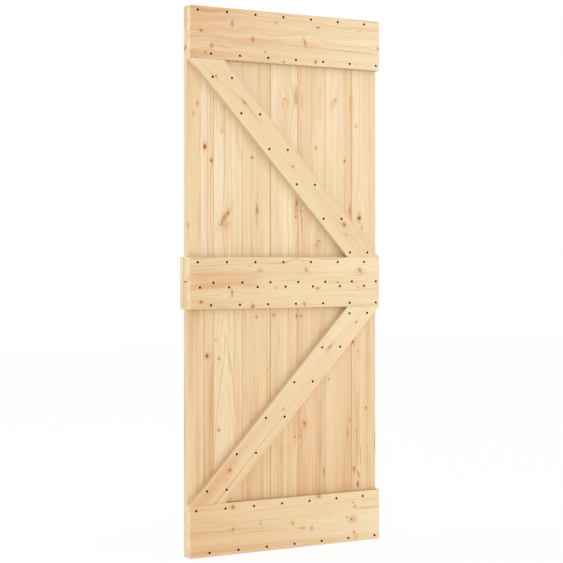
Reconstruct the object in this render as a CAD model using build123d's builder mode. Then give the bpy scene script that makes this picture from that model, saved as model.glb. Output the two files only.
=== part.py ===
"""Sliding barn door leaf: two half panels of tongue-and-groove boards, spliced by rails, with K braces.

The origin is the centre of the top rail's front face, where the hangers bolt on.
+X runs across the door, -Y is its front and +Z is up.
"""

import os
from math import sqrt

from build123d import *

# Leaf
door_width = 850.0
door_height = 2100.0

# Vertical boards, in an upper and a lower half panel
board_count = 7
board_thickness = 28.0
edge_rip = 10.0  # width sawn off the two outer boards
joint_gap = 0.5  # open joint between the shoulders of two boards
half_gap = 2.0  # open joint between the two half panels
board_arris = 0.8  # bevel along the corners of each board
tongue_length = 9.0
tongue_thickness = 8.0
tongue_cheek_clearance = 0.3
tongue_tip_clearance = 1.0

# Rails and braces
rail_width = 200.0
rail_thickness = 28.0
back_rail_thickness = 32.0
middle_rail_drop = 6.0  # middle rail's centre below the joint of the half panels
brace_width = 109.0
edge_round = 1.5  # rounding of the long corners of rails and braces

# Countersunk seats of the screw heads, with sides enough to be round at their size
screw_seat_radius = 4.9
screw_seat_depth = 2.2
screw_seat_angle = 90.0
screw_seat_sides = 16

# Screw rows on the rails: distance from the nearest edge of the rail, or from its centre line
top_rail_high_inset = 16.0
top_rail_low_inset = 20.0
middle_rail_high_inset = 20.0
middle_rail_low_inset = 16.0
splice_high_rise = 1.5
splice_low_drop = 16.5
bottom_rail_high_inset = 21.0
bottom_rail_low_inset = 15.0

# Screws along a row: one in each board, set back from the joint at its left or right
high_row_setback = 42.5
low_row_setback = 25.5
foot_high_setback = 36.0
foot_low_setback = 32.0
splice_high_setback = 15.5
splice_low_setback = 72.5

# Screws on the braces: level pairs, with the first and last set off from the rails
brace_screw_inset = 33.0  # level distance from the brace's slanting edges
upper_brace_first_drop = 67.5
upper_brace_last_rise = 18.5
upper_brace_stray = -5.5  # how far the last pair has strayed from the brace's middle, off the outer edge
lower_brace_first_drop = 26.0
lower_brace_last_rise = 50.5
lower_brace_stray = 8.5

# Levels, from the origin at the middle of the top rail
left_edge = -door_width / 2
right_edge = door_width / 2
top_level = rail_width / 2
top_rail_foot = top_level - rail_width
foot_level = top_level - door_height
bottom_rail_top = foot_level + rail_width
half_level = foot_level + door_height / 2
middle_rail_level = half_level - middle_rail_drop
middle_rail_top = middle_rail_level + rail_width / 2
middle_rail_foot = middle_rail_level - rail_width / 2

# Layers, from front to back
board_middle = rail_thickness + board_thickness / 2
board_back = rail_thickness + board_thickness
front_plane = Plane.XZ
board_face_plane = front_plane.offset(-rail_thickness)
board_back_plane = Plane(origin=(0, board_back, 0), x_dir=(-1, 0, 0), z_dir=(0, 1, 0))

# Joint lines between the boards, the outer two being those of boards not yet ripped to width
board_pitch = (door_width + 2 * edge_rip) / board_count
joints = [left_edge - edge_rip + board_pitch * number for number in range(board_count + 1)]
left_joints = joints[:-1]
right_joints = joints[1:]
right_sides = [min(joint, right_edge) for joint in right_joints]

groove_depth = tongue_length - joint_gap + tongue_tip_clearance
groove_width = tongue_thickness + 2 * tongue_cheek_clearance

os.makedirs("parts", exist_ok=True)


def write_piece(piece, label):
    piece.part.label = label
    export_step(piece.part, f"parts/{label}.step")


def make_board(label, number, foot, top):
    """A board with a groove on its left side and a tongue on its right, but square at the leaf's edges."""
    first = number == 0
    last = number == board_count - 1
    left = left_edge if first else left_joints[number] + joint_gap / 2
    right = right_edge if last else right_joints[number] - joint_gap / 2
    with BuildPart() as board:
        with BuildSketch(Plane.XY.offset(foot)) as section:
            with Locations(((left + right) / 2, board_middle)):
                Rectangle(right - left, board_thickness)
            chamfer(section.vertices(), length=board_arris)
            if not last:
                with Locations((right, board_middle)):
                    Rectangle(tongue_length, tongue_thickness, align=(Align.MIN, Align.CENTER))
            if not first:
                with Locations((left, board_middle)):
                    Rectangle(groove_depth, groove_width, align=(Align.MIN, Align.CENTER), mode=Mode.SUBTRACT)
        extrude(amount=top - foot)
    write_piece(board, label)


def screw_row(sides, setback, level):
    """Places of a row of screws, one beside each of the given board sides."""
    return [(side + setback, level) for side in sides]


def screw_seats(screws):
    """Outlines of the countersunk seats on the front, one at each screw."""
    with BuildSketch(front_plane) as seats:
        with Locations(*screws):
            RegularPolygon(screw_seat_radius, screw_seat_sides)
    return seats.sketch


def make_rail(label, level, thickness, seat, screws):
    """A level rail laid on the seat plane, with its long corners rounded and seats for its screws."""
    with BuildPart() as rail:
        with BuildSketch(seat):
            with Locations((0, level)):
                Rectangle(door_width, rail_width)
        extrude(amount=thickness)
        fillet(rail.edges().filter_by(Axis.X), radius=edge_round)
        if screws:
            extrude(screw_seats(screws), amount=-screw_seat_depth, taper=screw_seat_angle / 2, mode=Mode.SUBTRACT)
    write_piece(rail, label)


def level_cut(height):
    """Length of the level saw cut across a brace that rises by height from one edge of the leaf to the other.

    The brace's width is the cut times the sine of its slope, whose run is the leaf's width less the cut.
    """
    reach = height * sqrt(height**2 + door_width**2 - brace_width**2)
    return brace_width * (reach - brace_width * door_width) / (height**2 - brace_width**2)


def make_brace(label, lean, head, foot, first_drop, last_rise, stray):
    """A brace between two rails; it falls from left to right where lean is 1 and the other way where -1."""
    cut = level_cut(head - foot)
    outline = [(left_edge, head), (left_edge + cut, head), (right_edge, foot), (right_edge - cut, foot)]
    pair_count = board_count - 1
    first_level = head - first_drop
    pair_step = (first_level - foot - last_rise) / (pair_count - 1)
    screws = []
    for pair in range(pair_count):
        level = first_level - pair * pair_step
        side = left_edge + (door_width - cut) * (head - level) / (head - foot) + stray * pair / (pair_count - 1)
        screws.append((lean * (side + brace_screw_inset), level))
        screws.append((lean * (side + cut - brace_screw_inset), level))
    with BuildPart() as brace:
        with BuildSketch(board_face_plane):
            with BuildLine():
                Polyline(*[(lean * x, z) for x, z in outline], close=True)
            make_face()
        extrude(amount=rail_thickness)
        front_edges = brace.faces().sort_by(Axis.Y)[0].edges()
        fillet(front_edges.filter_by(Axis.X, reverse=True), radius=edge_round)
        extrude(screw_seats(screws), amount=-screw_seat_depth, taper=screw_seat_angle / 2, mode=Mode.SUBTRACT)
    write_piece(brace, label)


for number in range(board_count):
    make_board(f"upper_board_{number + 1}", number, half_level + half_gap / 2, top_level)
    make_board(f"lower_board_{number + 1}", number, foot_level, half_level - half_gap / 2)

top_screws = [
    *screw_row(left_joints, high_row_setback, top_level - top_rail_high_inset),
    *screw_row(right_joints, -low_row_setback, top_rail_foot + top_rail_low_inset),
]
middle_screws = [
    *screw_row(left_joints, high_row_setback, middle_rail_top - middle_rail_high_inset),
    *screw_row(right_sides, -splice_high_setback, middle_rail_level + splice_high_rise),
    *screw_row(right_sides, -splice_low_setback, middle_rail_level - splice_low_drop),
    *screw_row(right_joints, -low_row_setback, middle_rail_foot + middle_rail_low_inset),
]
bottom_screws = [
    *screw_row(left_joints, foot_high_setback, bottom_rail_top - bottom_rail_high_inset),
    *screw_row(right_joints, -foot_low_setback, foot_level + bottom_rail_low_inset),
]

make_rail("top_rail", 0, rail_thickness, board_face_plane, top_screws)
make_rail("middle_rail", middle_rail_level, rail_thickness, board_face_plane, middle_screws)
make_rail("bottom_rail", foot_level + rail_width / 2, rail_thickness, board_face_plane, bottom_screws)
make_rail("back_rail", middle_rail_level, back_rail_thickness, board_back_plane, [])

upper_pairs = (upper_brace_first_drop, upper_brace_last_rise, upper_brace_stray)
lower_pairs = (lower_brace_first_drop, lower_brace_last_rise, lower_brace_stray)
make_brace("upper_brace", 1, top_rail_foot, middle_rail_top, *upper_pairs)
make_brace("lower_brace", -1, middle_rail_foot, bottom_rail_top, *lower_pairs)
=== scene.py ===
from math import atan2, cos, pi, radians, sin, tan

import bpy
import numpy as np
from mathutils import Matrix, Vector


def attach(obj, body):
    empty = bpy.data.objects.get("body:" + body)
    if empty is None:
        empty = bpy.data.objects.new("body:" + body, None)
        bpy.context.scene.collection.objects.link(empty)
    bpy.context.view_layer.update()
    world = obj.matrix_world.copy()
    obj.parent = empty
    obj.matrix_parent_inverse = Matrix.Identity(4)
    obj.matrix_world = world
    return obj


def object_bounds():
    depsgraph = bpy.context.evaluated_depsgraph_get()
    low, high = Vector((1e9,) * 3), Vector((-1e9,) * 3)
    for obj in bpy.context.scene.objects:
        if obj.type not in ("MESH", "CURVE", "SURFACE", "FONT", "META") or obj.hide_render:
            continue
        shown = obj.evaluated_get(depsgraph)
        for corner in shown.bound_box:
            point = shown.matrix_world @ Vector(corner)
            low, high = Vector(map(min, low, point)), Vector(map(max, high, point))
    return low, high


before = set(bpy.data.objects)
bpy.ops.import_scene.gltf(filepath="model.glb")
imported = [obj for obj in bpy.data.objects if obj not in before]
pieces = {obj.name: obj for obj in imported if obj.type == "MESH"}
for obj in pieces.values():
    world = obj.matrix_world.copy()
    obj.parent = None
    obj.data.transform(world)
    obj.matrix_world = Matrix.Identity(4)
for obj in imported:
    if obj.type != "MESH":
        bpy.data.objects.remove(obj)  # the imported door, in metres; it stays as it is
cadBox = [list(corner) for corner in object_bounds()]
scene = bpy.context.scene
millimetres = 1000  # in a metre; the wood's figure is worked out in millimetres
levelTolerance = 0.0001  # metres, between corners that lie at one level
print("frame loaded:", len(pieces), "pieces of pine")


# Camera, level and in front of the door's left side
photo = {
    "side": 563,  # pixels, square
    "horizon": 257.0,  # row of the eye level
    "place": (-2.865, -5.100, -0.856),
    "heading": 29.08,  # degrees from straight ahead to the right
    "lens": 95.27,
    "sensor": 36.0,
}
cameraData = bpy.data.cameras.new("camera")
cameraData.lens = photo["lens"]
cameraData.sensor_width = photo["sensor"]
cameraData.shift_y = photo["horizon"] / photo["side"] - 0.5
camera = bpy.data.objects.new("camera", cameraData)
camera.location = photo["place"]
camera.rotation_euler = (pi / 2, 0, -radians(photo["heading"]))
scene.collection.objects.link(camera)
scene.camera = camera
scene.view_settings.view_transform = "Standard"
print("camera set, lens", photo["lens"], "mm")


# Node helpers
def linear(red, green, blue):
    # a screen colour of 0 to 255 as the linear colour that a shader takes, by the usual screen curve
    screen = np.array((red, green, blue)) / 255
    light = np.where(screen > 0.04045, ((screen + 0.055) / 1.055) ** 2.4, screen / 12.92)
    return (*light.tolist(), 1.0)


def addNode(tree, kind, inputs, **settings):
    # an input is either another node's output, which is linked, or a constant for the socket itself
    node = tree.nodes.new(kind)
    for name, value in settings.items():
        setattr(node, name, value)
    for name, value in inputs.items():
        if isinstance(value, bpy.types.NodeSocket):
            tree.links.new(value, node.inputs[name])
        else:
            node.inputs[name].default_value = value
    return node


def calc(tree, operation, first, second=0.0, third=0.0):
    node = addNode(tree, "ShaderNodeMath", {0: first, 1: second, 2: third}, operation=operation)
    return node.outputs[0]


def plus(tree, first, second):
    return calc(tree, "ADD", first, second)


def minus(tree, first, second):
    return calc(tree, "SUBTRACT", first, second)


def times(tree, first, second):
    return calc(tree, "MULTIPLY", first, second)


def timesPlus(tree, first, second, third):
    # first times second, plus third
    return calc(tree, "MULTIPLY_ADD", first, second, third)


def inverse(tree, mask):
    # 1 where the mask is 0, and 0 where it is 1
    return calc(tree, "SUBTRACT", 1.0, mask)


def bell(tree, squares, fall):
    # 1 in the middle, fading outwards with the square of the distance
    return calc(tree, "EXPONENT", times(tree, squares, -fall))


def ramp(tree, value, low, high):
    # smooth step: 0 below low, 1 above high
    inputs = {"Value": value, "From Min": low, "From Max": high}
    return addNode(tree, "ShaderNodeMapRange", inputs, interpolation_type="SMOOTHSTEP").outputs[0]


def blend(tree, share, first, second, how="MIX"):
    # a Mix node takes its share in socket 0 and its two colours in 6 and 7, and gives a colour in 2
    inputs = {0: share, 6: first, 7: second}
    return addNode(tree, "ShaderNodeMix", inputs, data_type="RGBA", blend_type=how).outputs[2]


def streakNoise(tree, place, seed, along, across, detail=2.0):
    # noise drawn out along the grain: patches of the given length and width in millimetres
    size = (1 / along, 1 / across, 1 / across)
    inputs = {0: place, 1: size, 2: seed}
    point = addNode(tree, "ShaderNodeVectorMath", inputs, operation="MULTIPLY_ADD").outputs[0]
    return addNode(tree, "ShaderNodeTexNoise", {"Vector": point, "Scale": 1.0, "Detail": detail}).outputs[0]


def spread(tree, value, size):
    # noise of 0 to 1 as a value from -size to size
    return times(tree, minus(tree, value, 0.5), times(tree, size, 2.0))


def split(tree, place):
    # along the grain, into the depth and across the grain
    return tuple(addNode(tree, "ShaderNodeSeparateXYZ", {0: place}).outputs)


def newGroup(name, inputs):
    # a group reads Place, in millimetres by the grain, and the named numbers
    tree = bpy.data.node_groups.new(name, "ShaderNodeTree")
    tree.interface.new_socket("Place", in_out="INPUT", socket_type="NodeSocketVector")
    for label, value in inputs.items():
        socket = tree.interface.new_socket(label, in_out="INPUT", socket_type="NodeSocketFloat")
        socket.default_value = value
    return tree, tree.nodes.new("NodeGroupInput").outputs


def putOut(tree, outputs):
    # the group's outputs, each a number that changes over the surface
    for label in outputs:
        tree.interface.new_socket(label, in_out="OUTPUT", socket_type="NodeSocketFloat")
    result = tree.nodes.new("NodeGroupOutput").inputs
    for label, value in outputs.items():
        tree.links.new(value, result[label])
    return tree


def useGroup(tree, group, inputs):
    return addNode(tree, "ShaderNodeGroup", inputs, node_tree=group).outputs


# Strips: bands along the grain, warmer or paler than the wood beside them, that waver a little
stripWaver = {"length": 260, "width": 400, "reach": 3.0}  # millimetres


def makeStripGroup():
    inputs = {
        "Across": 0.0, "Width": 20.0, "Soft": 3.0, "Warmth": 0.2, "Start": -1500.0, "End": 1500.0,
        "Slope": 0.0, "Fade": 60.0, "Seed": 0.0, "Before": 0.0,
    }
    tree, given = newGroup("pineStrip", inputs)
    along, _, across = split(tree, given["Place"])
    noise = streakNoise(tree, given["Place"], given["Seed"], stripWaver["length"], stripWaver["width"])
    waver = spread(tree, noise, stripWaver["reach"])
    middle = plus(tree, timesPlus(tree, along, given["Slope"], given["Across"]), waver)
    off = calc(tree, "ABSOLUTE", minus(tree, across, middle))
    half = times(tree, given["Width"], 0.5)
    outside = ramp(tree, off, minus(tree, half, given["Soft"]), plus(tree, half, given["Soft"]))
    begun = ramp(tree, along, given["Start"], plus(tree, given["Start"], given["Fade"]))
    ended = ramp(tree, along, minus(tree, given["End"], given["Fade"]), given["End"])
    reach = times(tree, begun, inverse(tree, ended))
    band = times(tree, reach, inverse(tree, outside))
    return putOut(tree, {"Warmth": timesPlus(tree, band, given["Warmth"], given["Before"])})


# Knots; a radius of 1 is the knot's rim
knotShape = {
    "raggedLength": 11,  # millimetres
    "raggedWidth": 6,
    "raggedReach": 0.75,  # radii that the rim strays to each side
    "coreEdge": (0.4, 1.0),  # radii over which the core thins out
    "ringTurns": 14.0,  # radians of the rings' wave for each radius
    "ringDepth": 0.12,  # share of the core that the rings take away, on average
    "coreDark": (0.1, 0.5),  # darkness over which a knot goes from all stain to mostly core
    "haloFall": 0.6,  # how fast the stain fades outwards
    "tailShare": 0.35,  # stain that runs out along the grain
    "tailSideFall": 1.5,  # how fast that fades to the side
    "tailEndFall": 0.4,  # and to the end
    "stainPower": 0.75,  # stain grows with this power of the darkness
    "stainGain": 1.15,
    "bowAlong": 2.2,  # widths past the knot's length
    "bowAcross": 1.5,  # widths
    "bowPush": 0.7,  # share of its distance from the knot that the grain is pushed
    "bowSwell": 0.35,  # widths that the rings swell
}


def makeKnotGroup():
    # a branch that leans through the thickness: brown core, stained rim, and grain that flows round it
    inputs = {
        "Along": 0.0, "Across": 0.0, "Length": 14.0, "Width": 10.0, "Dark": 0.5, "Tilt": 0.0, "Lean": 0.25,
        "Halo": 1.0, "Bow": 1.0, "Push": 0.0, "Swell": 0.0, "Stain": 0.0, "Core": 0.0,
    }
    tree, given = newGroup("pineKnot", inputs)
    along, depth, across = split(tree, given["Place"])
    alongOff = minus(tree, along, timesPlus(tree, depth, given["Lean"], given["Along"]))
    acrossOff = minus(tree, across, given["Across"])
    cosTilt = calc(tree, "COSINE", given["Tilt"])
    sinTilt = calc(tree, "SINE", given["Tilt"])
    alongTurned = timesPlus(tree, acrossOff, sinTilt, times(tree, alongOff, cosTilt))
    acrossTurned = minus(tree, times(tree, acrossOff, cosTilt), times(tree, alongOff, sinTilt))
    alongShare = calc(tree, "DIVIDE", times(tree, alongTurned, 2.0), given["Length"])
    acrossShare = calc(tree, "DIVIDE", times(tree, acrossTurned, 2.0), given["Width"])
    acrossSquare = times(tree, acrossShare, acrossShare)
    squares = timesPlus(tree, alongShare, alongShare, acrossSquare)
    raggedSize = (knotShape["raggedLength"], knotShape["raggedWidth"])
    ragged = streakNoise(tree, given["Place"], given["Along"], *raggedSize)
    radius = plus(tree, calc(tree, "SQRT", squares), spread(tree, ragged, knotShape["raggedReach"]))

    solid = inverse(tree, ramp(tree, radius, *knotShape["coreEdge"]))
    wave = calc(tree, "SINE", times(tree, radius, knotShape["ringTurns"]))
    ringed = timesPlus(tree, wave, knotShape["ringDepth"], 1 - knotShape["ringDepth"])
    coreShare = times(tree, given["Dark"], ramp(tree, given["Dark"], *knotShape["coreDark"]))
    core = times(tree, times(tree, solid, ringed), coreShare)

    # the stain fills the knot, fades past its rim and runs out thinly along the grain
    halo = bell(tree, squares, knotShape["haloFall"])
    tailSide = times(tree, acrossSquare, -knotShape["tailSideFall"])
    tailEnd = times(tree, calc(tree, "ABSOLUTE", alongShare), -knotShape["tailEndFall"])
    tail = calc(tree, "EXPONENT", plus(tree, tailSide, tailEnd))
    stainDark = calc(tree, "POWER", given["Dark"], knotShape["stainPower"])
    stain = timesPlus(tree, tail, knotShape["tailShare"], halo)
    stain = times(tree, stain, times(tree, stainDark, knotShape["stainGain"]))
    stain = times(tree, calc(tree, "MINIMUM", stain, 1.0), given["Halo"])

    # the grain bows out round the knot, further along the grain than to the sides
    bowLength = timesPlus(tree, given["Width"], knotShape["bowAlong"], given["Length"])
    bowWidth = times(tree, given["Width"], knotShape["bowAcross"])
    bowAlong = calc(tree, "DIVIDE", alongOff, bowLength)
    bowAcross = calc(tree, "DIVIDE", acrossOff, bowWidth)
    bowSquares = timesPlus(tree, bowAlong, bowAlong, times(tree, bowAcross, bowAcross))
    bow = times(tree, bell(tree, bowSquares, 1.0), given["Bow"])
    push = times(tree, times(tree, acrossOff, bow), -knotShape["bowPush"])
    swell = times(tree, times(tree, given["Width"], bow), knotShape["bowSwell"])
    return putOut(tree, {
        "Push": plus(tree, given["Push"], push),
        "Swell": plus(tree, given["Swell"], swell),
        "Stain": calc(tree, "MAXIMUM", given["Stain"], stain),
        "Core": calc(tree, "MAXIMUM", given["Core"], core),
    })


# Noises of the figure: step of the seed, length and width in millimetres, and detail
figureNoise = {
    "sideways": (0.0, 420, 160, 2.0),
    "inwards": (31.7, 300, 120, 2.0),
    "ripple": (5.1, 90, 45, 2.0),
    "uneven": (7.3, 900, 26, 2.0),
    "fibre": (0.0, 80, 2.6, 4.0),
    "fleck": (3.9, 14, 0.8, 0.0),
    "streak": (12.1, 900, 7.0, 2.0),
    "patch": (21.4, 500, 34.0, 2.0),
    "blush": (47.2, 420, 46.0, 0.0),
}
figureShape = {
    "ripple": 2.2,  # millimetres to each side
    "uneven": 0.9,  # rings to each side
    "spareRings": 200.0,  # keep the count of rings above nought
    "lateRise": (0.4, 0.88),  # share of a ring over which its late wood darkens
    "lateFall": (0.9, 1.0),  # and over which it ends
    "yearPower": 3.0,  # most years leave little late wood, a few leave much
    "yearLeast": 0.25,
    "yearMore": 1.1,
    "fleckEdge": (0.72, 0.82),  # noise over which a fleck of resin begins
    "fleckShare": 0.35,
    "lateHeight": 0.6,  # of the relief
    "fibreHeight": 0.5,
}


def makeFigureGroup():
    # growth rings round a pith that wanders beside the piece: the radius, less a taper along the grain,
    # is cut into rings that end in late wood; fibres, streaks and resin flecks follow the same bent grain
    inputs = {
        "Pith Depth": 60.0, "Pith Across": 20.0, "Ring": 4.0, "Taper": 10.0, "Wander": 6.0, "Seed": 0.0,
        "Push": 0.0, "Swell": 0.0,
    }
    tree, given = newGroup("pineFigure", inputs)
    along, depth, across = split(tree, given["Place"])

    def noise(name, place):
        step, *size = figureNoise[name]
        return streakNoise(tree, place, plus(tree, given["Seed"], step), *size)

    sideways = spread(tree, noise("sideways", given["Place"]), given["Wander"])
    inwards = spread(tree, noise("inwards", given["Place"]), given["Wander"])
    ripple = spread(tree, noise("ripple", given["Place"]), figureShape["ripple"])
    bent = plus(tree, plus(tree, across, sideways), plus(tree, ripple, given["Push"]))
    flow = addNode(tree, "ShaderNodeCombineXYZ", {0: along, 1: depth, 2: bent}).outputs[0]
    fromPith = minus(tree, bent, given["Pith Across"])
    behind = minus(tree, plus(tree, depth, inwards), given["Pith Depth"])
    squares = timesPlus(tree, fromPith, fromPith, times(tree, behind, behind))
    taper = times(tree, along, calc(tree, "DIVIDE", given["Taper"], millimetres))
    radius = minus(tree, plus(tree, calc(tree, "SQRT", squares), given["Swell"]), taper)

    uneven = spread(tree, noise("uneven", flow), figureShape["uneven"])
    rings = plus(tree, calc(tree, "DIVIDE", radius, given["Ring"]), uneven)
    share = calc(tree, "FRACT", plus(tree, rings, figureShape["spareRings"]))
    risen = ramp(tree, share, *figureShape["lateRise"])
    late = times(tree, risen, inverse(tree, ramp(tree, share, *figureShape["lateFall"])))
    whichRing = calc(tree, "FLOOR", rings)
    year = addNode(tree, "ShaderNodeTexWhiteNoise", {"W": whichRing}, noise_dimensions="1D").outputs[0]
    rare = calc(tree, "POWER", year, figureShape["yearPower"])
    late = times(tree, late, timesPlus(tree, rare, figureShape["yearMore"], figureShape["yearLeast"]))
    fleck = ramp(tree, noise("fleck", flow), *figureShape["fleckEdge"])
    late = timesPlus(tree, fleck, figureShape["fleckShare"], late)
    fibre = noise("fibre", flow)
    fibreHeight = times(tree, fibre, figureShape["fibreHeight"])
    return putOut(tree, {
        "Late": late,
        "Streak": noise("streak", flow),
        "Patch": noise("patch", flow),
        "Blush": noise("blush", flow),
        "Fibre": fibre,
        "Height": timesPlus(tree, late, figureShape["lateHeight"], fibreHeight),
    })


# Marks of sanding, partly painted highlight, of the end grain, and painted shade on the long sides, the
# joint behind and the countersinks; distances in millimetres from the piece's faces
edgeAndShadeMarks = {
    "raggedLength": 60,
    "raggedWidth": 12,
    "leastReach": 0.6,  # shares of the reach that the rubbing keeps everywhere
    "moreReach": 0.8,  # and gains where it is widest
    "sawn": (0.2, 1.4),  # long sides, where painted shade goes
    "end": (0.1, 0.4),  # end grain, which gets its own tone and, on the rails, painted light
    "seat": (1.4, 3.0),  # the face nearest the front, where a painted shadow line goes
    "countersinkInside": (3.0, 4.0),  # countersinks lie this far inside the outline
    "countersinkTop": (0.0, 0.05),  # depth over which they begin
    "countersinkFloor": 4.0,  # depth that they stay above
}


def makeEdgeAndShadeGroup():
    # arrises rubbed pale by sanding, partly a painted highlight: places within a few millimetres of two
    # faces of the piece at once;
    # the long sides, for painted shade, the end grain, for its tone and painted light, and the face nearest
    # the front, for a painted shadow line, are marked apart
    inputs = {"Half Length": 400.0, "Half Thickness": 14.0, "Half Width": 60.0, "Reach": 2.5, "Seed": 0.0}
    tree, given = newGroup("arrisRubAndShade", inputs)
    along, depth, across = split(tree, given["Place"])
    raggedSize = (edgeAndShadeMarks["raggedLength"], edgeAndShadeMarks["raggedWidth"])
    ragged = streakNoise(tree, given["Place"], given["Seed"], *raggedSize)
    ragged = timesPlus(tree, ragged, edgeAndShadeMarks["moreReach"], edgeAndShadeMarks["leastReach"])
    reach = times(tree, given["Reach"], ragged)
    centred = minus(tree, depth, given["Half Thickness"])
    fromEnd = minus(tree, given["Half Length"], calc(tree, "ABSOLUTE", along))
    fromFace = minus(tree, given["Half Thickness"], calc(tree, "ABSOLUTE", centred))
    fromSide = minus(tree, given["Half Width"], calc(tree, "ABSOLUTE", across))
    nearEnd, nearFace, nearSide = (inverse(tree, ramp(tree, inside, 0.0, reach))
                                   for inside in (fromEnd, fromFace, fromSide))
    longArris = times(tree, nearFace, nearSide)
    endArris = calc(tree, "MAXIMUM", times(tree, nearEnd, nearFace), times(tree, nearEnd, nearSide))

    # below the face but well inside the outline: the countersinks round the screw heads, for painted shade
    insideEnd = ramp(tree, fromEnd, *edgeAndShadeMarks["countersinkInside"])
    insideSide = ramp(tree, fromSide, *edgeAndShadeMarks["countersinkInside"])
    shallow = calc(tree, "LESS_THAN", depth, edgeAndShadeMarks["countersinkFloor"])
    sunken = times(tree, ramp(tree, depth, *edgeAndShadeMarks["countersinkTop"]), shallow)
    return putOut(tree, {
        "Rub And Highlight": calc(tree, "MAXIMUM", longArris, endArris),
        "Painted Side Shade": inverse(tree, ramp(tree, fromSide, *edgeAndShadeMarks["sawn"])),
        "End": inverse(tree, ramp(tree, fromEnd, *edgeAndShadeMarks["end"])),
        "Painted Gap Shadow": inverse(tree, ramp(tree, depth, *edgeAndShadeMarks["seat"])),
        "Painted Countersink Shade": times(tree, times(tree, insideEnd, insideSide), sunken),
    })


pineGroups = {
    "strip": makeStripGroup(),
    "knot": makeKnotGroup(),
    "figure": makeFigureGroup(),
    "edgesAndShade": makeEdgeAndShadeGroup(),
}
print("pine groups built:", ", ".join(pineGroups))

# What all the pine shares; a piece's own dictionary overrides what differs
pine = {
    "pale": linear(251, 232, 197),
    "honey": linear(244, 216, 175),
    "warm": linear(227, 181, 133),
    "lateTint": linear(221, 207, 194),
    "rosy": linear(255, 252, 252),
    "straw": linear(254, 254, 247),
    "stain": linear(226, 164, 107),
    "core": linear(121, 73, 20),
    "paintedCountersinkShade": linear(92, 40, 4),  # painted shade in the countersinks round the screw heads
    "tone": (1.0, 1.0, 1.0),  # the whole piece
    "sawnTone": (1.0, 1.0, 1.0),  # painted shade on the long sides against the face
    "endGrainAndPaintedLightTone": (1.0, 1.0, 1.0),  # end grain against the face; on the rails, painted light and shade on the lit ends
    "seatTone": (1.0, 1.0, 1.0),  # painted shadow line on the face nearest the front
    "warmth": 0.4,  # 0 pale, 0.5 honey, 1 warm
    "honeyWarmth": (0.0, 0.55),  # warmth over which pale turns to honey
    "warmWarmth": (0.45, 1.1),  # and honey to warm
    "blushEdge": (0.3, 0.7),  # noise over which straw turns rosy
    "fade": 0.0,  # change of warmth over a metre along the grain
    "streaks": 0.28,  # how far narrow streaks change the warmth
    "patches": 0.52,  # and wide patches
    "late": 0.5,  # strength of the late wood's tint
    "fibreDark": 0.9,  # darkest fibre
    "fibreRange": 0.2,  # how much lighter the palest is
    "rubAndHighlightShare": 0.4,  # pale on the rubbed arrises, partly a painted highlight
    "pith": (90.0, 110.0),  # millimetres behind the face and across from its middle
    "ring": 8.0,  # millimetres from one ring to the next
    "taper": 5.0,  # millimetres of radius over a metre along the grain
    "wander": 5.0,  # millimetres that the pith strays to each side
    "roughness": 0.62,
    "latePolish": 0.12,  # late wood is this much smoother
    "specular": 0.25,
    "bumpStrength": 0.35,
    "bumpDistance": 0.0004,  # metres
    "faceDepth": 1.6,  # millimetres that the face's corners lie within; a board's tongue lies deeper
    "knots": (),
    "strips": (),
}
grainRight, grainDown = 0.0, pi / 2  # turns about Y
seedCount = 97  # seeds to choose from


def knot(x, z, length, width, dark, tilt=0.0, lean=0.25, halo=1.0, bow=1.0):
    # place in the door's millimetres; length runs with the grain, tilt turns it in degrees,
    # lean is how far it runs along the grain for each millimetre of depth, halo is its share of stain and
    # bow is how much of the usual way round it the grain makes
    size = {"Length": length, "Width": width, "Dark": dark}
    return {"x": x, "z": z, "shape": {**size, "Tilt": radians(tilt), "Lean": lean, "Halo": halo, "Bow": bow}}


def strip(across, width, warmth, soft=3.0, start=-1500.0, end=1500.0, slope=0.0):
    # millimetres from the piece's middle, across and along the grain
    reach = {"Start": start, "End": end, "Slope": slope}
    return {"Across": across, "Width": width, "Warmth": warmth, "Soft": soft, **reach}


def cornersOf(node):
    mesh = pieces[node].data
    corners = np.empty(len(mesh.vertices) * 3)
    mesh.vertices.foreach_get("co", corners)
    return corners.reshape(-1, 3)


def seedOf(node):
    # a number from the letters of the piece's name
    return float(sum(ord(letter) * spot for spot, letter in enumerate(node, 1)) % seedCount)


def chainKnots(tree, place, middle, turn, knots):
    # each knot adds its push and swell to the grain, and its stain and core to those before it
    flow = {"Push": 0.0, "Swell": 0.0, "Stain": 0.0, "Core": 0.0}
    for mark in knots:
        right, rise = mark["x"] - middle[0], mark["z"] - middle[2]
        inputs = {
            "Place": place,
            "Along": right * cos(turn) - rise * sin(turn),
            "Across": right * sin(turn) + rise * cos(turn),
        }
        outputs = useGroup(tree, pineGroups["knot"], {**inputs, **mark["shape"], **flow})
        flow = {name: outputs[name] for name in flow}
    return flow


def pineWarmth(tree, place, figure, seed, look):
    # the piece's own warmth with its fade along the grain, then streaks, patches and strips
    along = split(tree, place)[0]
    warmth = timesPlus(tree, along, look["fade"] / millimetres, look["warmth"])
    warmth = plus(tree, warmth, spread(tree, figure["Streak"], look["streaks"]))
    warmth = plus(tree, warmth, spread(tree, figure["Patch"], look["patches"]))
    for spot, band in enumerate(look["strips"]):
        inputs = {"Place": place, "Seed": seed + spot, "Before": warmth, **band}
        warmth = useGroup(tree, pineGroups["strip"], inputs)["Warmth"]
    return warmth


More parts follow.
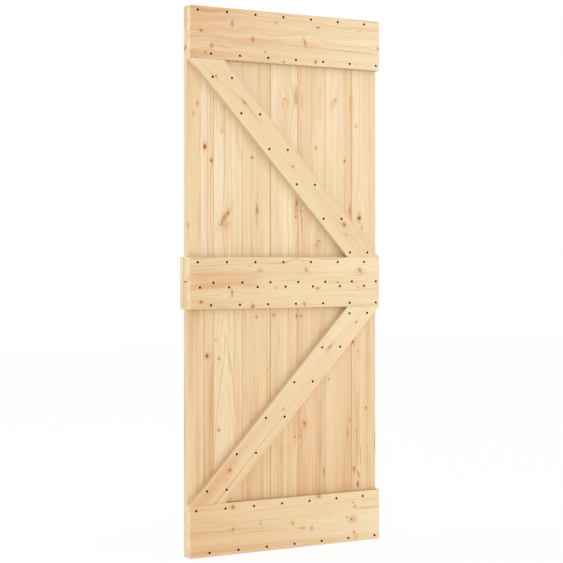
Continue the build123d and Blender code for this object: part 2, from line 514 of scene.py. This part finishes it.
def pineColour(tree, warmth, figure, edges, flow, look):
    # the wood's own colour and fibres, then its edges, sides and countersinks with painted highlight, light
    # and shade, then its knots
    wood = blend(tree, ramp(tree, warmth, *look["honeyWarmth"]), look["pale"], look["honey"])
    wood = blend(tree, ramp(tree, warmth, *look["warmWarmth"]), wood, look["warm"])
    wood = blend(tree, times(tree, figure["Late"], look["late"]), wood, look["lateTint"], "MULTIPLY")
    hue = blend(tree, ramp(tree, figure["Blush"], *look["blushEdge"]), look["straw"], look["rosy"])
    wood = blend(tree, 1.0, wood, hue, "MULTIPLY")
    grey = timesPlus(tree, figure["Fibre"], look["fibreRange"], look["fibreDark"])
    wood = blend(tree, 1.0, wood, grey, "MULTIPLY")
    wood = blend(tree, times(tree, edges["Rub And Highlight"], look["rubAndHighlightShare"]), wood, look["pale"])
    wood = blend(tree, edges["Painted Side Shade"], wood, (*look["sawnTone"], 1.0), "MULTIPLY")
    wood = blend(tree, edges["End"], wood, (*look["endGrainAndPaintedLightTone"], 1.0), "MULTIPLY")
    wood = blend(tree, edges["Painted Countersink Shade"], wood, look["paintedCountersinkShade"])
    wood = blend(tree, edges["Painted Gap Shadow"], wood, (*look["seatTone"], 1.0), "MULTIPLY")
    wood = blend(tree, flow["Stain"], wood, look["stain"])
    wood = blend(tree, flow["Core"], wood, look["core"])
    return blend(tree, 1.0, wood, (*look["tone"], 1.0), "MULTIPLY")


def newMaterial(name):
    material = bpy.data.materials.new(name)
    material.use_nodes = True
    material.node_tree.nodes.clear()
    return material, material.node_tree


def dressPine(node, turn, look, halfSpan=None):
    # turn is the grain's angle about Y; halfSpan is half the length and half the width by the grain,
    # where the box of the piece's face doesn't give them
    look = {**pine, **look}
    corners = cornersOf(node) * millimetres
    face = corners[corners[:, 1] < corners[:, 1].min() + look["faceDepth"]]
    low, high = face.min(0), face.max(0)
    middle = np.array(((low[0] + high[0]) / 2, low[1], (low[2] + high[2]) / 2))
    if halfSpan is None:
        halfX, _, halfZ = (high - low) / 2
        halfSpan = (halfZ, halfX) if turn == grainDown else (halfX, halfZ)
    seed = seedOf(node)

    material, tree = newMaterial("pine_" + node)
    mapping = {
        "Vector": tree.nodes.new("ShaderNodeTexCoord").outputs["Object"],
        "Location": middle / millimetres,
        "Rotation": (0, turn, 0),
        "Scale": (1 / millimetres,) * 3,
    }
    place = addNode(tree, "ShaderNodeMapping", mapping, vector_type="TEXTURE").outputs[0]
    flow = chainKnots(tree, place, middle, turn, look["knots"])
    figure = useGroup(tree, pineGroups["figure"], {
        "Place": place, "Seed": seed, "Push": flow["Push"], "Swell": flow["Swell"],
        "Pith Depth": look["pith"][0], "Pith Across": look["pith"][1],
        "Ring": look["ring"], "Taper": look["taper"], "Wander": look["wander"],
    })
    edges = useGroup(tree, pineGroups["edgesAndShade"], {
        "Place": place, "Seed": seed, "Half Length": halfSpan[0], "Half Width": halfSpan[1],
        "Half Thickness": np.ptp(corners[:, 1]) / 2,
    })
    warmth = pineWarmth(tree, place, figure, seed, look)
    bump = {"Height": figure["Height"], "Strength": look["bumpStrength"], "Distance": look["bumpDistance"]}
    shader = addNode(tree, "ShaderNodeBsdfPrincipled", {
        "Base Color": pineColour(tree, warmth, figure, edges, flow, look),
        "Roughness": timesPlus(tree, figure["Late"], -look["latePolish"], look["roughness"]),
        "Normal": addNode(tree, "ShaderNodeBump", bump).outputs[0],
        "Specular IOR Level": look["specular"],
    })
    addNode(tree, "ShaderNodeOutputMaterial", {"Surface": shader.outputs[0]})
    mesh = pieces[node].data
    mesh.materials.clear()
    mesh.materials.append(material)


# Marks that boards share, both painted shade: a dark line on the leaf's edge where the half panels meet,
# and darker colour along the joint at some boards' right
leftEdge = cadBox[0][0] * millimetres
halfLevel = (cadBox[0][2] + cadBox[1][2]) / 2 * millimetres
paintedHalfJointShade = knot(leftEdge, halfLevel, 6, 60, 1.0, lean=0.0, halo=0.0)
paintedJointShade = strip(61, 4, 0.8, 1)
deepPaintedJointShade = strip(61, 5, 1.3, 1)

# Boards: the grain runs down
# the boards' long sides get painted shade; their end grain is darker of itself
boardWood = {"sawnTone": (0.86, 0.8, 0.74), "endGrainAndPaintedLightTone": (0.6, 0.52, 0.44)}
boards = {
    "upper_board_1": {
        # painted shade on this board's left side
        "warmth": 0.42, "pith": (90, 130), "sawnTone": (0.8, 0.86, 0.91),
        "strips": [
            strip(-28, 58, 0.2, 2), strip(16, 28, -0.25, 2), strip(31, 3, 0.5, 1),
            strip(14, 6, 0.6, 2, 340, 440, 0.12), strip(-57, 6, 0.35, 1, -640, -400),
        ],
        "knots": [
            knot(-380, -270, 20, 12, 0.4), knot(-397, -307, 16, 9, 0.33), knot(-349, -433, 22, 15, 0.95),
            knot(-321, -485, 16, 12, 0.75), knot(-420, -733, 14, 8, 0.4), knot(-425, -55, 22, 8, 0.45),
            paintedHalfJointShade,
        ],
    },
    "upper_board_2": {
        "warmth": 0.3, "pith": (110, -105), "ring": 9.0,
        "strips": [strip(-36, 40, -0.2, 8, -80, 230), strip(46, 14, 0.35, 4, -90, 90, 0.14)],
        "knots": [
            knot(-276, -371, 12, 10, 0.3), knot(-260, -728, 46, 44, 0.24, bow=0.2),
            knot(-264, -704, 74, 24, 0.4, -34, bow=0.2),
            knot(-248, -688, 13, 9, 0.7), knot(-275, -729, 11, 8, 0.65), knot(-285, -732, 9, 7, 0.5),
        ],
    },
    "upper_board_3": {
        "warmth": 0.46, "pith": (80, -140), "ring": 7.0,
        "strips": [
            strip(-21, 3, 0.3, 1), strip(5, 3, 0.3, 1), strip(2, 4, 0.45, 1.5, 235, 340),
            deepPaintedJointShade,
        ],
        "knots": [knot(-145, -469, 10, 9, 0.75), knot(-122, -673, 40, 12, 0.5)],
    },
    "upper_board_4": {
        "warmth": 0.27, "fade": 0.3, "pith": (120, 100), "ring": 9.0,
        "strips": [strip(25, 40, -0.25, 8, 60, 430), paintedJointShade],
        "knots": [
            knot(-12, -531, 12, 10, 0.55), knot(53, -226, 62, 18, 0.36), knot(53, -188, 14, 10, 0.38),
            knot(3, -233, 8, 14, 0.4), knot(8, -242, 26, 22, 0.16), knot(-8, -258, 36, 7, 0.24, 12),
            knot(52, -668, 66, 17, 0.28), knot(55, -643, 24, 9, 0.6), knot(52, -697, 9, 11, 0.6),
        ],
    },
    "upper_board_5": {
        "warmth": 0.41, "fade": 0.12, "patches": 0.4, "pith": (100, -120),
        "strips": [strip(38, 16, 0.35, 4, -290, -80), strip(-45, 5, 0.6, 2, 240, 360)],
        "knots": [
            knot(79, -237, 50, 10, 0.25), knot(143, -420, 14, 10, 0.5), knot(77, -674, 12, 8, 0.5),
            knot(152, -801, 46, 28, 0.2), knot(146, -808, 10, 9, 0.55), knot(157, -792, 10, 16, 0.4),
        ],
    },
    "upper_board_6": {
        "warmth": 0.46, "pith": (90, 125),
        "strips": [
            strip(-33, 52, -0.18, 3), strip(28, 3, 0.4, 1), strip(47, 26, 0.1, 3), paintedJointShade,
        ],
        "knots": [
            knot(228, -238, 40, 20, 0.2, -20), knot(236, -224, 14, 8, 0.45, -30),
            knot(218, -242, 10, 7, 0.4), knot(303, -238, 60, 8, 0.3), knot(277, -468, 12, 9, 0.85),
            knot(304, -670, 48, 14, 0.4),
        ],
    },
    "upper_board_7": {
        "warmth": 0.29, "streaks": 0.2, "patches": 0.18, "pith": (110, -110), "ring": 9.0,
        "strips": [strip(34, 46, 0.12, 8), strip(-30, 40, -0.08, 8)],
        "knots": [
            knot(331, -327, 12, 9, 0.33), knot(347, -686, 46, 20, 0.25), knot(347, -699, 22, 17, 0.85),
            knot(359, -735, 18, 8, 0.4),
        ],
    },
    "lower_board_1": {
        # painted shade on this board's left side
        "warmth": 0.63, "pith": (80, 140), "sawnTone": (0.8, 0.9, 0.96),
        "strips": [
            strip(7, 10, -0.3, 2), strip(14, 4, 0.6, 1), strip(37, 40, 0.08, 4, -300, 600),
            strip(-35, 3, 0.25, 1), strip(-15, 3, 0.3, 1),
        ],
        "knots": [knot(-340, -1236, 18, 17, 1.0), paintedHalfJointShade],
    },
    "lower_board_2": {
        "warmth": 0.42, "pith": (45, -8), "ring": 9.0, "taper": 55,
        "strips": [strip(44, 10, 0.3, 4, -240, 60), strip(16, 12, -0.2, 4), strip(28, 10, 0.15, 3)],
        "knots": [
            knot(-289, -1247, 12, 10, 0.5), knot(-302, -1175, 9, 7, 0.4), knot(-289, -1522, 14, 10, 0.6),
        ],
    },
    "lower_board_3": {
        "warmth": 0.66, "fade": 0.45, "pith": (90, -130), "ring": 7.0,
        "strips": [strip(-50, 30, 0.15, 6, -150, 30), deepPaintedJointShade],
        "knots": [knot(-125, -1090, 14, 7, 0.55), knot(-72, -1295, 16, 6, 0.3)],
    },
    "lower_board_4": {
        "warmth": 0.62, "fade": 0.2, "streaks": 0.18, "patches": 0.3, "pith": (110, 110), "ring": 9.0,
        "strips": [strip(-25, 8, 0.35, 2, -350, -240), strip(2, 14, -0.2, 4), paintedJointShade],
        "knots": [
            knot(-48, -1084, 14, 14, 0.45), knot(56, -1090, 18, 10, 0.6), knot(47, -1547, 80, 15, 0.2),
            knot(48, -1568, 10, 7, 0.6), knot(-14, -1622, 72, 13, 0.24), knot(-14, -1648, 18, 8, 0.3),
        ],
    },
    "lower_board_5": {
        "warmth": 0.7, "fade": 0.4, "streaks": 0.2, "patches": 0.4, "pith": (70, 75), "ring": 9.0,
        "strips": [strip(21, 4, 0.35, 1.5, -130, 330), strip(38, 16, 0.18, 4, -80, 230)],
        "knots": [
            knot(75, -1090, 16, 8, 0.5), knot(94, -1519, 36, 27, 0.26), knot(92, -1517, 13, 11, 0.75),
            knot(80, -1516, 9, 7, 0.35), knot(70, -1566, 20, 8, 0.36), knot(181, -1717, 36, 6, 0.65),
        ],
    },
    "lower_board_6": {
        "warmth": 0.66, "fade": 0.2, "streaks": 0.18, "patches": 0.34, "late": 0.4, "pith": (90, 130),
        "strips": [strip(-40, 34, -0.14, 5), strip(28, 3, 0.3, 1), paintedJointShade],
        "knots": [knot(204, -1345, 12, 8, 0.4), knot(303, -1515, 20, 8, 0.4), knot(293, -1567, 20, 6, 0.4)],
    },
    "lower_board_7": {
        "warmth": 0.53, "fade": 0.2, "pith": (80, -90), "ring": 9.0,
        "strips": [
            strip(-31, 4, 0.8, 1, -90, 240), strip(-32, 3, 0.6, 1, 30, 190),
            strip(-13, 5, 0.7, 2, 120, 240), strip(30, 40, 0.1, 8),
        ],
        "knots": [
            knot(317, -1200, 16, 12, 0.65), knot(341, -1237, 10, 8, 0.4), knot(379, -1470, 12, 10, 0.6),
            knot(341, -1776, 22, 12, 0.75), knot(322, -1714, 30, 18, 0.45),
            knot(344, -1736, 26, 10, 0.4, 20), knot(336, -1615, 150, 4, 0.4), knot(336, -1566, 40, 5, 0.5),
            knot(425, -1612, 95, 9, 0.5),
        ],
    },
}
for node, look in boards.items():
    dressPine(node, grainDown, {**boardWood, **look})
print("boards dressed:", len(boards))

# Rails: the grain runs to the right
# the rails' long sides get painted shade on their top and bottom faces, and their ends painted light
railWood = {"sawnTone": (0.64, 0.58, 0.52), "endGrainAndPaintedLightTone": (0.96, 1.07, 1.16)}
rails = {
    "top_rail": {
        "warmth": 0.55, "fade": -0.67, "late": 0.65, "pith": (140, 150), "wander": 9, "taper": 20,
        "strips": [
            strip(-25, 30, 0.16, 8, -360, 20), strip(-72, 5, 0.7, 1.5, -340, -230, -0.08),
            strip(-58, 14, -0.2, 5), strip(-24, 5, 0.35, 2, -40, 430, -0.025),
        ],
        "knots": [
            knot(-378, 6, 16, 12, 0.6), knot(-246, 43, 8, 26, 0.6), knot(-156, -13, 10, 18, 0.75),
            knot(-333, -49, 16, 22, 0.4), knot(-361, -77, 10, 12, 0.45), knot(-102, -57, 9, 10, 0.45),
            knot(-19, -93, 9, 9, 0.6), knot(-52, 59, 7, 8, 0.45), knot(78, -11, 9, 36, 0.45, 20),
            knot(137, 55, 16, 9, 0.55), knot(126, -82, 10, 16, 0.7), knot(333, 55, 20, 8, 0.25),
            knot(419, -10, 6, 14, 0.5), knot(229, 76, 6, 8, 0.4),
        ],
    },
    "middle_rail": {
        "warmth": 0.47, "fade": -0.6, "late": 0.7, "pith": (130, 170), "wander": 10, "taper": -30,
        # painted light and shade on the middle rail's lit end
        "endGrainAndPaintedLightTone": (0.95, 0.99, 0.97),
        "strips": [
            strip(70, 62, -0.15, 12), strip(8, 60, 0.13, 16, -430, -100), strip(-2, 4, 0.3, 1.5, 150, 430),
        ],
        "knots": [
            knot(-378, -1027, 17, 13, 0.65), knot(-246, -996, 8, 28, 0.55), knot(-156, -1047, 10, 18, 0.75),
            knot(-53, -976, 7, 10, 0.45), knot(-123, -910, 18, 14, 0.3), knot(-168, -890, 6, 6, 0.45),
            knot(83, -906, 12, 24, 0.35, 20), knot(333, -910, 15, 26, 0.4, 25), knot(70, -871, 18, 8, 0.2),
            knot(229, -958, 8, 8, 0.5), knot(136, -980, 18, 12, 0.45), knot(323, -979, 14, 8, 0.25),
            knot(75, -1042, 8, 20, 0.5, 25),
        ],
    },
    "bottom_rail": {
        "warmth": 0.5, "fade": -0.72, "patches": 0.3, "pith": (140, -160), "ring": 6.0, "wander": 7,
        "taper": 12,
        "strips": [
            strip(32, 12, 0.5, 4, 290, 600), strip(22, 5, 0.4, 2, 330, 600, 0.1), strip(-80, 20, 0.15, 6),
        ],
        "knots": [
            knot(-243, -1818, 14, 20, 0.6, 20), knot(-243, -1903, 10, 14, 0.5),
            knot(-121, -1890, 8, 12, 0.4), knot(22, -1903, 8, 16, 0.5), knot(141, -1806, 22, 18, 0.45),
            knot(305, -1963, 7, 14, 0.5, 20),
            knot(297, -1912, 34, 30, 0.24), knot(293, -1910, 13, 12, 0.6), knot(109, -1930, 9, 22, 0.4),
            knot(68, -1926, 26, 7, 0.45), knot(271, -1900, 7, 8, 0.7), knot(299, -1844, 8, 8, 0.5),
            knot(309, -1861, 9, 10, 0.5), knot(317, -1983, 10, 22, 0.26),
        ],
    },
    "back_rail": {
        "fade": 0.2, "pith": (-90, -140), "wander": 8, "taper": 10,
        # painted light and shade on the back rail's end, and a painted shadow line where its front meets the
        # boards
        "tone": (0.97, 0.95, 0.93), "endGrainAndPaintedLightTone": (0.86, 0.86, 0.89), "seatTone": (0.5, 0.45, 0.4),
        "knots": [
            knot(-300, -920, 16, 12, 0.6), knot(-90, -1010, 12, 20, 0.5), knot(150, -900, 14, 10, 0.6),
            knot(330, -985, 18, 14, 0.45),
        ],
    },
}
for node, look in rails.items():
    dressPine(node, grainRight, {**railWood, **look})
print("rails dressed:", len(rails))

# Braces: the grain follows the slope between the leaf's two edges; falls is 1 where it runs down rightwards
# the braces' long sides get painted shade
braceWood = {"sawnTone": (0.82, 0.85, 0.89), "streaks": 0.2, "patches": 0.3, "late": 0.38, "taper": 8}
braces = {
    "upper_brace": {
        "falls": 1, "warmth": 0.42, "fade": 0.12, "pith": (110, 110),
        "strips": [strip(50, 3, 0.5, 1, -540, -300, 0.16), strip(9, 4, 0.8, 1, -320, -160)],
        "knots": [
            knot(-314, -164, 10, 10, 0.5), knot(-192, -258, 28, 12, 0.45), knot(24, -500, 10, 10, 0.5),
            knot(259, -726, 20, 18, 0.55), knot(267, -766, 14, 12, 0.25),
        ],
    },
    "lower_brace": {
        "falls": -1, "warmth": 0.5, "fade": -0.5, "pith": (100, -120),
        "strips": [strip(-20, 3, 0.25, 1, -540, 500)],
        "knots": [
            knot(316, -1118, 12, 8, 0.65), knot(192, -1215, 36, 12, 0.4), knot(-20, -1452, 10, 8, 0.5),
            knot(-256, -1675, 18, 16, 0.55), knot(-267, -1712, 20, 6, 0.35),
        ],
    },
}


def braceRun(node):
    # slope of the brace, and half its length and width in millimetres by the grain;
    # the half length reaches past the level saw cuts, which stay unrubbed
    corners = cornersOf(node)
    width, _, height = np.ptp(corners, axis=0)
    headCorners = corners[corners[:, 2] > corners[:, 2].max() - levelTolerance]
    sawCut = np.ptp(headCorners[:, 0])
    slope = atan2(height, width - sawCut)
    return slope, (np.hypot(height, width) * millimetres, sawCut * sin(slope) / 2 * millimetres)


for node, look in braces.items():
    slope, halfSpan = braceRun(node)
    dressPine(node, look["falls"] * slope, {**braceWood, **look}, halfSpan)
print("braces dressed:", len(braces))


# Screws, one set for each piece that they go through
screws = {
    "pieces": ("top_rail", "middle_rail", "bottom_rail", "upper_brace", "lower_brace"),
    "headRadius": 0.00467,
    "sunk": 0.00006,  # head's face below the wood
    "rimDrop": 0.00006,  # rounding of the rim, down
    "rimWidth": 0.0002,  # and inwards
    "footRadius": 0.0026,
    "seatFloor": 0.0022,
    "footClearance": 0.00002,
    "crossReach": 0.0024,  # from the axis to the end of an arm
    "crossFloor": 0.5,  # the recess's floor as a share of its mouth
    "crossDepth": 0.0012,  # at the edge of the recess's floor
    "crossTurn": 2.4,  # radians from one screw to the next, so that no two crosses are in line
    "tipDepth": 0.0014,  # at its middle
    "sides": 32,
    "seatReach": 3,  # foot radii within which corners belong to one seat
    "cornerDigits": 6,  # decimals of a metre that tell corners apart
    "centreDigits": 4,  # and centres
    "black": linear(17, 8, 2),
    "bare": linear(36, 22, 10),
    "cloudScale": 900.0,
    "cloudDetail": 3.0,
    "wornEdge": (0.55, 0.75),  # noise over which black turns bare
    "roughness": 0.35,
    "cloudRoughness": 0.25,
    "specular": 0.02,
}


def screwPlaces(node):
    # the seat floors' corners, each averaged with its neighbours, give one centre a seat
    corners = cornersOf(node)
    floor = corners[np.abs(corners[:, 1] - screws["seatFloor"]) < levelTolerance][:, [0, 2]]
    floor = np.unique(floor.round(screws["cornerDigits"]), axis=0)
    apart = np.linalg.norm(floor[:, None] - floor[None], axis=2)
    near = apart < screws["seatReach"] * screws["footRadius"]
    centres = (near[:, :, None] * floor[None]).sum(1) / near.sum(1)[:, None]
    return np.unique(centres.round(screws["centreDigits"]), axis=0)


def screwPoints(places):
    # each head is a profile carried round its axis, in rings from the cross's floor over the rim to the
    # foot, with a pole at each end; the cross's mouth, seen from the axis, is the nearer of an arm's end
    # and an arm's side
    angles = np.arange(screws["sides"]) * 2 * pi / screws["sides"]
    fromArm = np.abs((angles + pi / 4) % (pi / 2) - pi / 4)
    halfArm = screws["crossReach"] * tan(2 * pi / screws["sides"])
    armEnd = screws["crossReach"] / np.cos(fromArm)
    armSide = np.divide(halfArm, np.sin(fromArm), out=np.full_like(angles, np.inf), where=fromArm > 0)
    mouth = np.minimum(armEnd, armSide)
    circle = np.ones_like(angles)
    face, foot = screws["sunk"], screws["seatFloor"] - screws["footClearance"]
    radii = np.stack([
        mouth * screws["crossFloor"],
        mouth,
        circle * (screws["headRadius"] - screws["rimWidth"]),
        circle * screws["headRadius"],
        circle * screws["footRadius"],
    ])
    depths = np.array([face + screws["crossDepth"], face, face, face + screws["rimDrop"], foot])
    turns = np.arange(len(places)) * screws["crossTurn"]
    turned = angles[None, None] + turns[:, None, None]
    x = places[:, 0, None, None] + radii * np.cos(turned)
    z = places[:, 1, None, None] + radii * np.sin(turned)
    y = np.broadcast_to(depths[None, :, None], x.shape)
    rings = np.stack([x, y, z], axis=-1).reshape(len(places), -1, 3)
    poleDepths = np.broadcast_to(np.array([face + screws["tipDepth"], foot]), (len(places), 2))
    poles = np.stack([np.repeat(places[:, :1], 2, 1), poleDepths, np.repeat(places[:, 1:], 2, 1)], axis=-1)
    return np.concatenate([rings, poles], axis=1)


def screwFaces(headCount, pointCount):
    # quads between one ring and the next, and a fan of triangles at each pole, repeated for every head
    sides = screws["sides"]
    tip, base = pointCount - 2, pointCount - 1
    lastRing = tip - sides
    spot = np.arange(sides)
    after = np.roll(spot, -1)
    ringStarts = np.arange(0, lastRing, sides)[:, None]
    inner, innerAfter = ringStarts + spot, ringStarts + after
    quads = np.stack([inner, inner + sides, innerAfter + sides, innerAfter], axis=-1).reshape(-1, 4)
    tips = np.stack([np.full_like(spot, tip), spot, after], axis=-1)
    bases = np.stack([lastRing + spot, np.full_like(spot, base), lastRing + after], axis=-1)
    step = (np.arange(headCount) * pointCount)[:, None, None]
    faces = []
    for kind in (quads, tips, bases):
        faces += (kind + step).reshape(-1, kind.shape[1]).tolist()
    return faces


def screwSet(node):
    places = screwPlaces(node)
    points = screwPoints(places)
    mesh = bpy.data.meshes.new(node + "_screws")
    mesh.from_pydata(points.reshape(-1, 3).tolist(), [], screwFaces(*points.shape[:2]))
    mesh.update()
    piece = bpy.data.objects.new(node + "_screws", mesh)
    scene.collection.objects.link(piece)
    return piece, len(places)


def screwMaterial():
    # black finish, worn a little brighter in cloudy patches
    material, tree = newMaterial("screw_black")
    place = tree.nodes.new("ShaderNodeTexCoord").outputs["Object"]
    cloudInputs = {"Vector": place, "Scale": screws["cloudScale"], "Detail": screws["cloudDetail"]}
    cloud = addNode(tree, "ShaderNodeTexNoise", cloudInputs).outputs[0]
    worn = ramp(tree, cloud, *screws["wornEdge"])
    shader = addNode(tree, "ShaderNodeBsdfPrincipled", {
        "Base Color": blend(tree, worn, screws["black"], screws["bare"]),
        "Roughness": timesPlus(tree, cloud, screws["cloudRoughness"], screws["roughness"]),
        "Specular IOR Level": screws["specular"],
    })
    addNode(tree, "ShaderNodeOutputMaterial", {"Surface": shader.outputs[0]})
    return material


blackFinish = screwMaterial()
for node in screws["pieces"]:
    screwPiece, count = screwSet(node)
    screwPiece.data.materials.append(blackFinish)
    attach(screwPiece, "root")
    print("screws set:", node, count)


# Studio: white floor and surroundings, soft lamps
studio = {
    "white": (1.0, 1.0, 1.0, 1.0),
    "floorSide": 24.0,
    "floorDrop": 0.001,  # below the door's foot
    "floorWhite": (0.98, 0.98, 0.98, 1.0),
    "floorGlow": 0.88,  # share of plain white that the camera sees, the rest keeps the shadow
    "worldLight": 0.88,
    "lamps": [
        {"name": "leftLamp", "place": (-5.0, 1.8, 0.4), "aim": (-0.4, 0, -0.9), "size": 3.0, "watts": 72},
        {"name": "rightLamp", "place": (4.2, -4.2, 0.6), "aim": (0, 0, -0.9), "size": 3.6, "watts": 45},
        {"name": "backLamp", "place": (1.5, 4.8, 1.8), "aim": (0, 0, -0.9), "size": 3.6, "watts": 12},
    ],
}


def seenRays(tree):
    # 1 for rays from the camera, a mirror or glass
    path = tree.nodes.new("ShaderNodeLightPath").outputs
    mirrored = calc(tree, "MAXIMUM", path["Is Glossy Ray"], path["Is Transmission Ray"])
    return calc(tree, "MAXIMUM", path["Is Camera Ray"], mirrored)


def makeWorld():
    # plain white to the eye, a little less as light
    world = bpy.data.worlds.new("studioWorld")
    world.use_nodes = True
    tree = world.node_tree
    tree.nodes.clear()
    white = studio["white"]
    soft = addNode(tree, "ShaderNodeBackground", {"Color": white, "Strength": studio["worldLight"]})
    plain = addNode(tree, "ShaderNodeBackground", {"Color": white, "Strength": 1.0})
    mix = addNode(tree, "ShaderNodeMixShader", {0: seenRays(tree), 1: soft.outputs[0], 2: plain.outputs[0]})
    addNode(tree, "ShaderNodeOutputWorld", {"Surface": mix.outputs[0]})
    scene.world = world


def makeFloor():
    # a flat square under the door's foot: both parameters run across it, at one height
    side = np.linspace(-studio["floorSide"] / 2, studio["floorSide"] / 2, 2)
    x, y = np.meshgrid(side, side)
    z = np.full_like(x, cadBox[0][2] - studio["floorDrop"])
    mesh = bpy.data.meshes.new("floor")
    mesh.from_pydata(np.stack([x, y, z], axis=-1).reshape(-1, 3).tolist(), [], [(0, 1, 3, 2)])
    floor = bpy.data.objects.new("floor", mesh)
    scene.collection.objects.link(floor)
    material, tree = newMaterial("floorWhite")
    matt = addNode(tree, "ShaderNodeBsdfDiffuse", {"Color": studio["floorWhite"]})
    glow = addNode(tree, "ShaderNodeEmission", {"Color": studio["white"], "Strength": 1.0})
    share = times(tree, seenRays(tree), studio["floorGlow"])
    mix = addNode(tree, "ShaderNodeMixShader", {0: share, 1: matt.outputs[0], 2: glow.outputs[0]})
    addNode(tree, "ShaderNodeOutputMaterial", {"Surface": mix.outputs[0]})
    mesh.materials.append(material)


def makeLamp(lamp):
    data = bpy.data.lights.new(lamp["name"], "AREA")
    data.shape = "DISK"
    data.size = lamp["size"]
    data.energy = lamp["watts"]
    light = bpy.data.objects.new(lamp["name"], data)
    light.location = lamp["place"]
    aim = np.array(lamp["aim"]) - np.array(lamp["place"])
    flat = np.hypot(aim[0], aim[1])
    light.rotation_euler = (atan2(flat, -aim[2]), 0, atan2(-aim[0], aim[1]))
    light.visible_camera = False
    scene.collection.objects.link(light)


makeWorld()
makeFloor()
for lamp in studio["lamps"]:
    makeLamp(lamp)
print("studio lit:", len(studio["lamps"]), "lamps")
